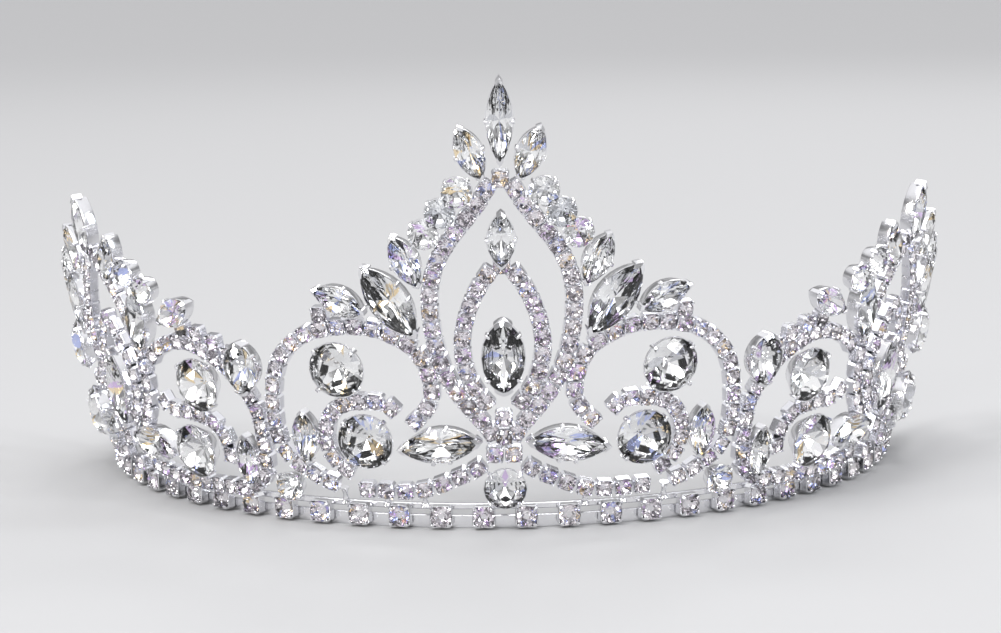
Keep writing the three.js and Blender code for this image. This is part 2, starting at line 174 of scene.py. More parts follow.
def circle(angle):
    return math.cos(angle), math.sin(angle)


def navette(width, length):
    """The unit outline of a marquise stone of that shape: two arcs that meet in points."""
    radius = (length ** 2 + width ** 2) / (4 * width)
    rest = radius - width / 2

    def outline(angle):
        y = math.sin(angle)
        reach = math.sqrt(max(0.0, radius ** 2 - (y * length / 2) ** 2)) - rest
        x = math.copysign(max(0.0, reach) / (width / 2), math.cos(angle))
        return x, y
    return outline


def pointed_oval(angle):
    """Between an oval and a marquise, like the stone in the middle of the centre arch."""
    x, y = circle(angle)
    point_x, point_y = navette(7.2, 12.8)(angle)
    return 0.6 * x + 0.4 * point_x, 0.6 * y + 0.4 * point_y


# ---------------------------------------------------------------- cut stones

def cut_stone(outline, width, length, crown, pavilion, table=0.56):
    """A brilliant cut on any outline: table, star, kite and girdle facets above, pavilion below.
    Slot 0 is the clear crown, slot 1 the foiled back. The girdle is at z = 0."""
    half_width, half_length = width / 2, length / 2
    waist = 0.80
    waist_reach = waist * math.cos(math.pi / 8)
    waist_height = crown * (1 - waist_reach) / (1 - table)
    lower = 0.42
    lower_depth = pavilion * (1 - lower * math.cos(math.pi / 8))

    def ring(count, offset, scale, z):
        points = []
        for i in range(count):
            x, y = outline(2 * math.pi * (i + offset) / count)
            points.append((x * half_width * scale, y * half_length * scale, z))
        return points

    edge = 0.03 * width
    verts = ring(8, 0, table, crown) + ring(8, 0.5, waist, waist_height)
    verts += ring(16, 0, 1, 0) + ring(16, 0, 1, -edge)
    verts += ring(8, 0.5, lower, -edge - lower_depth) + [(0, 0, -edge - pavilion)]
    top, mid, upper, under, low, culet = 0, 8, 16, 32, 48, 56
    faces, slots = [tuple(range(8))], [0]
    for i in range(8):
        j, k = (i + 1) % 8, (i - 1) % 8
        g0, g1, g2 = 2 * i, 2 * i + 1, (2 * i + 2) % 16
        crown_faces = [(top + i, mid + i, top + j), (top + i, mid + k, upper + g0, mid + i),
                       (mid + i, upper + g0, upper + g1), (mid + i, upper + g1, upper + g2),
                       (upper + g0, under + g0, under + g1, upper + g1),
                       (upper + g1, under + g1, under + g2, upper + g2)]
        back_faces = [(under + g0, low + k, culet, low + i), (under + g0, low + i, under + g1),
                      (under + g1, low + i, under + g2)]
        faces += crown_faces + back_faces
        slots += [0] * len(crown_faces) + [1] * len(back_faces)
    return verts, faces, slots


# ---------------------------------------------------------------- settings

def cup(outline, width, length, depth, foot, wall=0.22, steps=28):
    """A thin cup with a closed floor; foot is the floor's size against the rim's."""
    levels = [(foot, 0.0), (foot + 0.03, 0.12), (0.985, depth - 0.35), (1.0, depth - 0.1)]
    rim_in = 1 - 2 * wall / width
    levels += [(0.995, depth), (rim_in, depth), (rim_in - 0.01, depth - 0.5), (foot * 0.9, 0.35)]
    rings = []
    for scale, z in levels:
        ring = []
        for i in range(steps):
            x, y = outline(2 * math.pi * i / steps)
            ring.append((x * width / 2 * scale, y * length / 2 * scale, z))
        rings.append(ring)
    return skinned(rings)


def bead(centre, radius, across=6, rows=4):
    """A small ball, the domed end of a claw."""
    rings = []
    for i in range(1, rows):
        lift = math.pi * i / rows
        ring = []
        for j in range(across):
            turn = 2 * math.pi * j / across
            ring.append((centre.x + radius * math.sin(lift) * math.cos(turn),
                         centre.y + radius * math.sin(lift) * math.sin(turn),
                         centre.z - radius * math.cos(lift)))
        rings.append(ring)
    return skinned(rings)


def claw(base, tip_point, outward, width, thickness=0.3):
    """A claw from a point on the cup's wall, up past the girdle and folded over onto the crown."""
    base, tip_point, outward = Vector(base), Vector(tip_point), Vector(outward).normalized()
    side = Vector((0, 0, 1)).cross(outward).normalized()
    knee = Vector((base.x, base.y, tip_point.z - 0.12))
    path = [base, base.lerp(knee, 0.6), knee, knee.lerp(tip_point, 0.5) + Vector((0, 0, 0.1)),
            tip_point]
    rings = []
    for i, point in enumerate(path):
        ahead = path[min(i + 1, len(path) - 1)] - path[max(i - 1, 0)]
        normal = side.cross(ahead).normalized()
        half_width = width / 2 * (1 - 0.12 * i)
        half_depth = thickness / 2
        corners = ((1, 0.3), (0.6, 1), (-0.6, 1), (-1, 0.3), (-0.6, -1), (0.6, -1))
        rings.append([tuple(point + side * u * half_width + normal * v * half_depth)
                      for u, v in corners])
    return merged(skinned(rings), bead(tip_point, width * 0.36))


def claws_at(outline, width, length, angles, girdle, crown, claw_width):
    """Folded claws at the given angles of the outline."""
    shapes = []
    for angle in angles:
        x, y = outline(angle)
        ahead_x, ahead_y = outline(angle + 0.02)
        behind_x, behind_y = outline(angle - 0.02)
        edge = Vector((x * width / 2, y * length / 2, 0))
        along = Vector(((ahead_x - behind_x) * width, (ahead_y - behind_y) * length, 0))
        outward = along.cross(Vector((0, 0, 1))).normalized()
        start = edge + outward * 0.02 + Vector((0, 0, girdle - 0.8))
        end = edge - outward * 0.5 + Vector((0, 0, girdle + crown * 0.5))
        shapes.append(claw(start, end, outward, claw_width))
    return merged(*shapes)


def tip_prong(outline, width, length, middle, girdle, crown, spread=0.5, steps=8):
    """The V-shaped prong that wraps the point of a marquise and folds over its crown."""
    section = ((1.015, girdle * 0.35), (1.04, girdle), (1.025, girdle + crown * 0.3),
               (0.90, girdle + crown * 0.62), (0.885, girdle + crown * 0.42),
               (0.985, girdle + crown * 0.1), (0.985, girdle * 0.35))
    rings = []
    for i in range(steps + 1):
        x, y = outline(middle + spread * (2 * i / steps - 1))
        rings.append([(x * width / 2 * scale, y * length / 2 * scale, z) for scale, z in section])
    return skinned(rings)


class Setting:
    """A cut of stone with its own cup and claws, made once and placed many times."""

    def __init__(self, outline, size, depth, foot, claws, crown, table=0.56, claw_width=0.8,
                 tips=()):
        width, length = size
        self.girdle = depth - crown
        self.stone = cut_stone(outline, width - 0.3, length - 0.3, crown, self.girdle * 0.8, table)
        prongs = [tip_prong(outline, width, length, tip, self.girdle, crown) for tip in tips]
        self.metal = merged(cup(outline, width, length, self.girdle - 0.1, foot), *prongs,
                            claws_at(outline, width, length, claws, self.girdle, crown, claw_width))

    def place(self, stones, metals, matrix):
        stones.add(self.stone, matrix @ Matrix.Translation((0, 0, self.girdle)))
        metals.add(self.metal, matrix)


def degrees(*angles):
    return [math.radians(angle) for angle in angles]


TIPS = degrees(90, -90)
CORNERS = degrees(45, 135, 225, 315)
WAIST = degrees(0, 180)
FLANKS = degrees(12, 168, 192, 348)
LARGE = Setting(navette(6.9, 14.6), (6.9, 14.6), 3.9, 0.84, FLANKS, 1.1, tips=TIPS)
LEVEL = Setting(navette(6.3, 13.9), (6.3, 13.9), 3.9, 0.84, FLANKS, 1.1, tips=TIPS)
MIDDLE = Setting(navette(5.8, 12), (5.8, 12), 3.9, 0.84, FLANKS, 1.0, tips=TIPS)
SMALL = Setting(navette(4.9, 9.6), (4.9, 9.6), 3.4, 0.84, WAIST, 0.9, tips=TIPS)
SPIRE = Setting(navette(4.6, 14.4), (4.6, 14.4), 3.4, 0.84, WAIST, 0.9, tips=TIPS)
SIDE_SPIRE = Setting(navette(4.8, 11.4), (4.8, 11.4), 3.4, 0.84, WAIST, 0.9, tips=TIPS)
BIG = Setting(circle, (9.8, 9.8), 4.9, 0.55, CORNERS, 1.6, 0.5, 0.9)
BASE = Setting(circle, (7.4, 7.4), 4.0, 0.6, CORNERS, 1.3, 0.5)
FIVE = Setting(circle, (5.3, 5.3), 3.6, 0.7, CORNERS, 1.0, 0.52, 0.7)
OVAL = Setting(pointed_oval, (7.4, 12.8), 4.0, 0.75, degrees(38, 142, 218, 322), 1.2, 0.5,
               tips=TIPS)
JUNCTION = Setting(pointed_oval, (6.8, 9.2), 3.9, 0.8, degrees(30, 150), 1.1, 0.5, tips=TIPS)


# ---------------------------------------------------------------- cup chain

def square_cup(size, height):
    """A square cup with cut corners and a floor, and a domed claw at each corner."""
    def ring(half, z):
        c = half * 0.74
        return [(half, -c, z), (half, c, z), (c, half, z), (-c, half, z),
                (-half, c, z), (-half, -c, z), (-c, -half, z), (c, -half, z)]
    half = size / 2
    body = skinned([ring(half * 0.84, 0), ring(half, 0.3), ring(half, height - 0.12),
                    ring(half * 0.96, height), ring(half * 0.88, height),
                    ring(half * 0.84, height * 0.5), ring(half * 0.6, height * 0.4)])
    claws = []
    for i in range(4):
        angle = math.pi / 4 + i * math.pi / 2
        outward = Vector((math.cos(angle), math.sin(angle), 0))
        start = outward * (half * 1.14) + Vector((0, 0, height * 0.3))
        end = outward * (half * 0.94) + Vector((0, 0, height + size * 0.14))
        claws.append(claw(start, end, outward, size * 0.21, 0.22))
    return merged(body, *claws)


CHAIN_CUP = square_cup(2.9, 1.7)
CHAIN_STONE = cut_stone(circle, 2.82, 2.82, 0.6, 1.15, 0.55)
CHAIN_GIRDLE = 1.72
CHAIN_WOBBLE = 2.5
LINK_LENGTH = 1.2
BASE_CUP = square_cup(3.8, 1.8)
BASE_STONE = cut_stone(circle, 3.7, 3.7, 0.75, 1.4, 0.55)
BASE_GIRDLE = 1.85
BASE_WOBBLE = 2
BASE_RISE = BAND_HEIGHT / 2 + 0.1
BASE_SINK = 0.4


def catmull(points, per_span=24):
    """A centripetal Catmull-Rom curve through the points, as the part's own chains follow."""
    first = points[0] * 2 - points[1]
    last = points[-1] * 2 - points[-2]
    padded = [first, *points, last]
    samples = []
    for i in range(1, len(padded) - 2):
        p = padded[i - 1:i + 3]
        t = [0.0]
        for a, b in zip(p, p[1:]):
            t.append(t[-1] + max(1e-6, (b - a).length) ** 0.5)
        for step in range(per_span):
            u = t[1] + (t[2] - t[1]) * step / per_span
            a1 = p[0].lerp(p[1], (u - t[0]) / (t[1] - t[0]))
            a2 = p[1].lerp(p[2], (u - t[1]) / (t[2] - t[1]))
            a3 = p[2].lerp(p[3], (u - t[2]) / (t[3] - t[2]))
            b1 = a1.lerp(a2, (u - t[0]) / (t[2] - t[0]))
            b2 = a2.lerp(a3, (u - t[1]) / (t[3] - t[1]))
            samples.append(b1.lerp(b2, (u - t[1]) / (t[2] - t[1])))
    samples.append(points[-1])
    return samples


def stations(route, pitch):
    """(point, direction) of each cup's middle, an odd number evenly spaced along the route."""
    samples = catmull([cone_point(s, h) for s, h in route])
    reach = [0.0]
    for a, b in zip(samples, samples[1:]):
        reach.append(reach[-1] + (b - a).length)
    count = 2 * round(reach[-1] / pitch / 2 - 0.5) + 1
    places = []
    index = 0
    for i in range(count):
        goal = (i + 0.5) * reach[-1] / count
        while reach[index + 1] < goal:
            index += 1
        step = (goal - reach[index]) / (reach[index + 1] - reach[index])
        point = samples[index].lerp(samples[index + 1], step)
        direction = (samples[index + 1] - samples[index]).normalized()
        places.append((point, direction))
    return places


def chain_matrix(point, direction):
    outward = cone_normal(point)
    direction = (direction - outward * direction.dot(outward)).normalized()
    across = outward.cross(direction)
    basis = Matrix((direction, across, outward)).transposed().to_4x4()
    return Matrix.Translation(point) @ basis


def wobbled(matrix, amount):
    """Turns a stone by a hand-setter's error, so that no two catch the light alike."""
    turn = Matrix.Rotation(RANDOM.uniform(-math.pi, math.pi), 4, "Z")
    tip = Matrix.Rotation(math.radians(RANDOM.gauss(0, amount)), 4, "X")
    roll = Matrix.Rotation(math.radians(RANDOM.gauss(0, amount)), 4, "Y")
    return matrix @ tip @ roll @ turn


def link(length, half_width=0.35, bottom=0.1, top=0.6):
    """The strip of metal that joins two cups."""
    section = ((-half_width, bottom), (half_width, bottom), (half_width, top), (-half_width, top))
    return skinned([[(x, y, z) for y, z in section] for x in (-length / 2, length / 2)])


def set_cup(stones, metals, matrix):
    """One square cup of chain, with its stone."""
    metals.add(CHAIN_CUP, matrix)
    seated = matrix @ Matrix.Translation((0, 0, CHAIN_GIRDLE))
    stones.add(CHAIN_STONE, wobbled(seated, CHAIN_WOBBLE))


def lay_chain(stones, metals, route):
    places = stations(route, CHAIN_PITCH)
    for point, direction in places:
        set_cup(stones, metals, chain_matrix(point, direction))
    for (a, _), (b, _) in zip(places, places[1:]):
        metals.add(link(LINK_LENGTH), chain_matrix(a.lerp(b, 0.5), (b - a).normalized()))


# ---------------------------------------------------------------- materials

def new_material(name):
    material = bpy.data.materials.new(name)
    material.use_nodes = True
    nodes = material.node_tree.nodes
    return material, nodes, material.node_tree.links, nodes["Principled BSDF"]


def plated_metal(name, colour, roughness, grain):
    """Bright rhodium plate with faint tumbling marks and slightly uneven polish."""
    material, nodes, links, shader = new_material(name)
    shader.inputs["Metallic"].default_value = 1.0
    place = nodes.new("ShaderNodeTexCoord")
    cloud = nodes.new("ShaderNodeTexNoise")
    cloud.inputs["Scale"].default_value = 420.0
    cloud.inputs["Detail"].default_value = 4.0
    links.new(place.outputs["Object"], cloud.inputs["Vector"])
    polish = nodes.new("ShaderNodeMapRange")
    polish.inputs["To Min"].default_value = roughness * 0.6
    polish.inputs["To Max"].default_value = roughness * 1.6
    links.new(cloud.outputs["Fac"], polish.inputs["Value"])
    links.new(polish.outputs["Result"], shader.inputs["Roughness"])
    tone = nodes.new("ShaderNodeValToRGB")
    tone.color_ramp.elements[0].position = 0.3
    tone.color_ramp.elements[0].color = (*[c * 0.9 for c in colour], 1)
    tone.color_ramp.elements[1].position = 0.7
    tone.color_ramp.elements[1].color = (*colour, 1)
    links.new(cloud.outputs["Fac"], tone.inputs["Fac"])
    links.new(tone.outputs["Color"], shader.inputs["Base Color"])
    marks = nodes.new("ShaderNodeTexNoise")
    marks.inputs["Scale"].default_value = grain
    marks.inputs["Detail"].default_value = 6.0
    links.new(place.outputs["Object"], marks.inputs["Vector"])
    bump = nodes.new("ShaderNodeBump")
    bump.inputs["Strength"].default_value = 0.12
    bump.inputs["Distance"].default_value = 0.0002
    links.new(marks.outputs["Fac"], bump.inputs["Height"])
    links.new(bump.outputs["Normal"], shader.inputs["Normal"])
    return material


def facet_number(nodes, links):
    """A number from 0 to 1 that differs from facet to facet and from stone to stone."""
    geometry = nodes.new("ShaderNodeNewGeometry")
    island = nodes.new("ShaderNodeVectorMath")
    island.operation = "ADD"
    spread = nodes.new("ShaderNodeVectorMath")
    spread.operation = "SNAP"
    spread.inputs[1].default_value = (0.02, 0.02, 0.02)
    links.new(geometry.outputs["True Normal"], spread.inputs[0])
    links.new(spread.outputs["Vector"], island.inputs[0])
    links.new(geometry.outputs["Random Per Island"], island.inputs[1])
    dice = nodes.new("ShaderNodeTexWhiteNoise")
    dice.noise_dimensions = "3D"
    links.new(island.outputs["Vector"], dice.inputs["Vector"])
    return dice.outputs["Value"]


def crystal(name, tint_low, tint_high):
    """Clear lead crystal: the crown of a stone."""
    material, nodes, links, shader = new_material(name)
    shader.inputs["Transmission Weight"].default_value = 1.0
    shader.inputs["IOR"].default_value = 1.58
    shader.inputs["Roughness"].default_value = 0.0
    geometry = nodes.new("ShaderNodeNewGeometry")
    tone = nodes.new("ShaderNodeValToRGB")
    tone.color_ramp.elements[0].color = (*tint_low, 1)
    tone.color_ramp.elements[1].color = (*tint_high, 1)
    links.new(geometry.outputs["Random Per Island"], tone.inputs["Fac"])
    links.new(tone.outputs["Color"], shader.inputs["Base Color"])
    return material


def foil(name, silver, shade):
    """The foiled back of a stone: silver, with some facets painted darker as painted shade standing
    in for dark reflections, and a few painted amber, blue and violet as painted glints of dispersion.
    """
    material, nodes, links, shader = new_material(name)
    shader.inputs["Metallic"].default_value = 1.0
    shader.inputs["Roughness"].default_value = 0.06
    number = facet_number(nodes, links)
    foil_tone_with_painted_light = nodes.new("ShaderNodeValToRGB")
    ramp = foil_tone_with_painted_light.color_ramp
    ramp.interpolation = "CONSTANT"
    ramp.elements[0].position = 0.0
    ramp.elements[0].color = (*silver, 1)
    # Painted shade: a share of the facets painted darker, standing in for dark reflections.
    ramp.elements[1].position = 0.45
    ramp.elements[1].color = (*shade, 1)
    # Painted glints: a few facets painted amber, blue and violet, standing in for the coloured sparks
    # of dispersion.
    for position, colour in ((0.62, silver), (0.88, (0.98, 0.80, 0.52)), (0.92, (0.55, 0.62, 0.98)),
                             (0.96, (0.80, 0.62, 0.95))):
        element = ramp.elements.new(position)
        element.color = (*colour, 1)
    links.new(number, foil_tone_with_painted_light.inputs["Fac"])
    links.new(foil_tone_with_painted_light.outputs["Color"], shader.inputs["Base Color"])
    return material


RHODIUM = plated_metal("rhodium_plate", (0.86, 0.86, 0.88), 0.13, 2600.0)
CHAIN_METAL = plated_metal("chain_plate", (0.83, 0.83, 0.87), 0.15, 3200.0)
CLEAR = crystal("clear_crystal", (0.97, 0.98, 1.0), (1.0, 0.985, 0.96))
CHAIN_CLEAR = crystal("chain_crystal", (0.98, 0.96, 0.975), (1.0, 0.985, 0.975))
# Each foil's silver, then the painted shade of its darker facets; its amber, blue and violet facets
# are painted glints.
FOIL = foil("silver_foil", (0.97, 0.975, 0.98), (0.70, 0.71, 0.74))
CHAIN_FOIL = foil("chain_foil", (0.95, 0.93, 0.95), (0.40, 0.38, 0.41))
STONE_MATERIALS = (CLEAR, FOIL)
CHAIN_MATERIALS = (CHAIN_CLEAR, CHAIN_FOIL)


# ---------------------------------------------------------------- the band

def band_rail(bottom, height, steps=192):
    """One rail, with softened edges."""
    soft = 0.12
    profile = [(0, soft), (0, height - soft), (-soft, height), (soft - BAND_THICKNESS, height),
               (-BAND_THICKNESS, height - soft), (-BAND_THICKNESS, soft),
               (soft - BAND_THICKNESS, 0), (-soft, 0)]
    rings = []
    for i in range(steps + 1):
        angle = (-BAND_END + 2 * BAND_END * i / steps) / BAND_RADIUS
        ring = []
        for out, rise in profile:
            radius = BAND_RADIUS + out
            ring.append((radius * math.sin(angle), AXIS_Y - radius * math.cos(angle), bottom + rise))
        rings.append(ring)
    return skinned([list(reversed(ring)) for ring in rings])


def rung(s):
    """One rung, a little thinner than the rails that it runs into at both ends."""
    half_width, half_depth = RUNG_WIDTH / 2, BAND_THICKNESS * 0.42
    low, high = LOWER_RAIL - RUNG_OVERLAP, LOWER_RAIL + SLOT + RUNG_OVERLAP
    angle = s / BAND_RADIUS
    radius = BAND_RADIUS - BAND_THICKNESS / 2
    along = Vector((math.cos(angle), math.sin(angle), 0))
    outward = Vector((math.sin(angle), -math.cos(angle), 0))
    centre = Vector((radius * math.sin(angle), AXIS_Y - radius * math.cos(angle), 0))
    rings = []
    for z in (low, high):
        rings.append([tuple(centre + along * u * half_width + outward * v * half_depth
                            + Vector((0, 0, z)))
                      for u, v in ((-1, 1), (1, 1), (1, -1), (-1, -1))])
    return skinned([list(reversed(ring)) for ring in rings])


def rung_places():
    places = []
    s = RUNG_PITCH / 2
    while s < BAND_END:
        places += [s, -s]
        s += RUNG_PITCH
    return places


def build_band():
    pile = Pile()
    pile.add(band_rail(0, LOWER_RAIL))
    pile.add(band_rail(LOWER_RAIL + SLOT, UPPER_RAIL))
    for s in rung_places() + [END_RUNG, -END_RUNG]:
        pile.add(rung(s))
    band = pile.piece("base_band_strip", [RHODIUM], "rhodium", smooth=35)
    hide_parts("base_band")
    metals, stones = Pile(), Pile()
    for s in rung_places():
        matrix = seat(s, BASE_RISE, out=-BASE_SINK) @ Matrix.Rotation(-FLARE, 4, "X")
        metals.add(BASE_CUP, matrix)
        stones.add(BASE_STONE, wobbled(matrix @ Matrix.Translation((0, 0, BASE_GIRDLE)), BASE_WOBBLE))
    metals.piece("base_row_cups", [RHODIUM], "rhodium")
    stones.piece("base_row_stones", CHAIN_MATERIALS, "crystal")


# Each joint's distance along the band and the height that it reaches, repeated on both sides.
CENTRE_SOLDER = ((13.2, 6.2), (19.6, 6.2), (27.0, 6.8))
BASE_ROUND_SOLDER_TOP = 5.0
# Distances from a side motif's middle.
SIDE_SOLDER = (-24, -15, -9, 0, 9, 15, 24)
SIDE_SOLDER_TOP = 4.7
SOLDER_WAIST = 0.42
SOLDER_OVERLAP = 0.15


def solder_joint(s, top, steps=6, sides=10):
    """A waisted fillet of solder from the band's upper rail to what stands above it."""
    foot = BAND_HEIGHT - SOLDER_OVERLAP
    rings = []
    for i in range(steps + 1):
        share = i / steps
        radius = SOLDER_WAIST * (1 + (2 * share - 1) ** 2)
        rise = foot + (top - foot) * share
        ring = []
        for j in range(sides):
            turn = 2 * math.pi * j / sides
            place = cone_point(s + radius * math.cos(turn), rise, radius * math.sin(turn))
            ring.append(tuple(place))
        rings.append(ring)
    return skinned(rings)


def build_solder():
    """Solder under the lowest cups: centre round, bottom legs, wings and side motifs."""
    pile = Pile()
    pile.add(solder_joint(0, BASE_ROUND_SOLDER_TOP))
    for side, _ in SIDES:
        for reach, top in CENTRE_SOLDER:
            pile.add(solder_joint(side * reach, top))
        for reach in SIDE_SOLDER:
            pile.add(solder_joint(side * (SIDE_CENTRE + reach), SIDE_SOLDER_TOP))
    pile.piece("solder_joints", [RHODIUM], "rhodium", smooth=40)


def build_hairpin_loop(word):
    """A ring of round wire, smooth where the part's is faceted."""
    low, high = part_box(f"{word}_hairpin_loop")
    centre = (low + high) / 2 / MM
    radius = (high.z - low.z) / MM / 2 - LOOP_WIRE
    angle = math.atan2(centre.x, AXIS_Y - centre.y)
    along = Vector((math.cos(angle), math.sin(angle), 0))
    outward = Vector((math.sin(angle), -math.cos(angle), 0))
    steps, sides = 48, 12
    verts, faces = [], []
    for i in range(steps):
        turn = 2 * math.pi * i / steps
        spoke = along * math.cos(turn) + Vector((0, 0, math.sin(turn)))
        for j in range(sides):
            around = 2 * math.pi * j / sides
            verts.append(tuple(centre + spoke * (radius + LOOP_WIRE * math.cos(around))
                               + outward * LOOP_WIRE * math.sin(around)))
            a, b = i * sides + j, i * sides + (j + 1) % sides
            c = ((i + 1) % steps) * sides
            faces.append((a, c + j, c + (j + 1) % sides, b))
    pile = Pile()
    pile.add((verts, faces, [0] * len(faces)))
    loop = pile.piece(f"{word}_hairpin_ring", [RHODIUM], "rhodium", smooth=60)
    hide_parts(f"{word}_hairpin_loop")


# ---------------------------------------------------------------- routes, as in the part

OUTER_ARCH = [[0.9, 61], [2.9, 57.6], [5.2, 54], [7.1, 51.2], [8.7, 48.2], [9.7, 45.4],
              [10.3, 42.2], [10.4, 39], [10.2, 35.8], [9.7, 32.4], [9, 29.6], [8, 27],
              [6.7, 24.5], [5, 22], [3.4, 19.9], [1.9, 17.6], [1.5, 16.4]]
INNER_LOOP = [[0.9, 46.6], [2.3, 44.8], [3.6, 42.4], [4.7, 39.6], [5.5, 36.6], [5.9, 33.4],
              [5.7, 30.4], [5, 27.4], [3.8, 24.8], [1.9, 22.2]]
BOTTOM_LEG = [[3, 12.4], [4.9, 11], [7.5, 9.7], [10.1, 8.5], [13, 7.5], [16.5, 7.1], [20, 7.2],
              [24, 7.2]]
WING_ARCH = [[14.6, 18.8], [12.4, 21.1], [10.9, 23.8], [10.9, 26.6], [11.5, 29.4],
             [12.9, 32.2], [15.7, 34.4], [19.2, 35.9], [24, 36.1], [29.2, 34.9], [32.8, 32.5],
             [35.2, 29.6], [36.6, 26], [37.3, 22], [37.5, 18], [37, 14.6], [35.2, 12],
             [32.6, 10.2], [29.8, 8.6], [27.2, 7.7]]
SWIRL = [[16.5, 20.9], [17.6, 22.3], [19.4, 23], [21.8, 23], [24.4, 22.6], [26.6, 21.2],
         [28, 19], [28.5, 15.9], [27.8, 13.2], [26.2, 11.2], [24.4, 10.1]]
SIDE_OUTER_ARCH = [[0.6, 44.8], [3.3, 41.9], [6.1, 38.2], [8.4, 34], [9.8, 30], [10.3, 26],
                   [10.1, 22], [9, 18], [6.8, 14.5], [4.4, 11.5], [2.6, 8.2]]
SIDE_INNER_LOOP = [[0.9, 32.6], [3.1, 29.8], [4.9, 26.6], [5.9, 23.2], [5.7, 19.6],
                   [4.3, 16.4], [2.1, 13.6]]
SIDE_WING_ARCH = [[12.9, 26.6], [14.6, 28.4], [17.6, 30], [21, 31], [24.4, 31], [27.6, 29.8],
                  [30.6, 28], [33, 25.8], [35, 23], [36.3, 19.8], [36.6, 16], [36.6, 12],
                  [36.2, 9.2], [34.4, 7], [31.6, 5.7], [28, 5.3], [24, 5.2], [20, 5.2],
                  [16, 5.3], [12, 5.6], [8, 6.2], [6, 6.9]]
SIDE_SWIRL = [[13.8, 20.8], [15, 18.9], [17.4, 18.2], [20, 18.2], [22.8, 18], [25.6, 17.4],
              [28.2, 15.2], [29.1, 12.2], [28.9, 9.6]]


def half(route, centre, reach):
    return [(centre + reach * s, h) for s, h in route]


def bent_over(route, centre):
    return half(route, centre, -1)[::-1] + half(route, centre, 1)


def chain_piece(name, route, node):
    stones, metals = Pile(), Pile()
    lay_chain(stones, metals, route)
    cups = metals.piece(f"{name}_cups", [CHAIN_METAL], "cup_chain")
    stones.piece(f"{name}_stones", CHAIN_MATERIALS, "crystal")
    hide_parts(node)


def setting_piece(name, setting, matrix, nodes=()):
    stones, metals = Pile(), Pile()
    setting.place(stones, metals, matrix)
    metal = metals.piece(f"{name}_claws", [RHODIUM], "rhodium", smooth=35)
    stones.piece(f"{name}_gem", STONE_MATERIALS, "crystal")
    if nodes:
        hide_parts(*nodes)


def set_at_node(name, setting, turn=0.0, out=0.0, split=False):
    """A setting in its CAD node's place; split where the cup and the stone are two nodes."""
    node = f"{name}_setting" if split else name
    s, h = node_seat(node)
    nodes = (node, f"{name}_stone") if split else (node,)
    setting_piece(name, setting, seat(s, h, turn, out), nodes)


# ---------------------------------------------------------------- motifs

# Places of single stones and cups, as (s, h) for the right-hand half of a motif.
SHOULDER_STONES = ((5.8, 59.4), (8.2, 55.9), (10.6, 52.4))
FUNNEL = ((0, 20.3), (0, 17), (-1.5, 13.9), (1.5, 13.9))
FAN_TIP = (27.3, 38)
WING_NAVETTE = (31.9, 16.4)
SIDE_ROW = ((23, 33.5), (26.2, 32.9), (29.5, 31.7), (32.4, 29.8))
SIDE_SPIRE_HEIGHT = 49.8
SIDE_NAVETTE_HEIGHT = 19.8
SIDE_BASE_HEIGHT = 5.3
# Each stone's name, cut, s, h and lean in degrees.
SIDE_STONES = (("crest_navette", SMALL, 7.2, 45, 25), ("crest_round", FIVE, 11.8, 42.6, 0),
               ("shoulder_round", FIVE, 16, 39.9, 0), ("fan_middle", MIDDLE, 12.9, 34.4, 8),
               ("fan_outer", SMALL, 22.5, 36.6, 65), ("arch_navette", SMALL, 33.3, 11, 0),
               ("level_navette", LEVEL, 10.1, 11, 96))
# The junction oval stands a chain's depth in front, where the wing meets the side motif.
JUNCTION_OUT = 2.9
# Braces behind the crest's outer stones, the fan's middle navette and the end of the arch's row.
SIDE_BRACES = ([[7.2, 45], [9.5, 43.9], [11.8, 42.6], [13.9, 41.3], [16, 39.9]],
               [[8.4, 34.1], [9.9, 34.2], [11.4, 34.3], [12.9, 34.4]],
               [[31, 28], [31.5, 28.6], [32, 29.2], [32.4, 29.8]])
BRACE_DEPTH = 0.3
BRACE_RADIUS = 0.45


def lay_brace(pile, route, sides=8):
    """A bent wire behind the stones that stand clear of their strand, as the part has."""
    samples = catmull([cone_point(s, h, BRACE_DEPTH) for s, h in route], 6)
    last = len(samples) - 1
    rings = []
    for i, point in enumerate(samples):
        along = (samples[min(i + 1, last)] - samples[max(i - 1, 0)]).normalized()
        basis = chain_matrix(point, along).to_3x3()
        ring = []
        for j in range(sides):
            turn = 2 * math.pi * j / sides
            spoke = Vector((0, BRACE_RADIUS * math.cos(turn), BRACE_RADIUS * math.sin(turn)))
            ring.append(tuple(point + basis @ spoke))
        rings.append(ring)
    pile.add(skinned(rings))


def build_centre():
    chain_piece("centre_outer_arch", bent_over(OUTER_ARCH, 0), "centre_outer_arch")
    chain_piece("centre_inner_loop", bent_over(INNER_LOOP, 0), "centre_inner_loop")
    set_at_node("centre_base_round", BASE, split=True)
    set_at_node("centre_oval", OVAL, split=True)
    set_at_node("centre_small_navette", SMALL)
    set_at_node("centre_spire_navette", SPIRE)
    filler_piece("funnel_stones", FUNNEL)


def filler_piece(name, places):
    """Single chain cups, soldered where two chains leave a gap."""
    stones, metals = Pile(), Pile()
    for s, h in places:
        set_cup(stones, metals, seat(s, h))
    metals.piece(f"{name}_cups", [CHAIN_METAL], "cup_chain")
    stones.piece(f"{name}_gems", CHAIN_MATERIALS, "crystal")


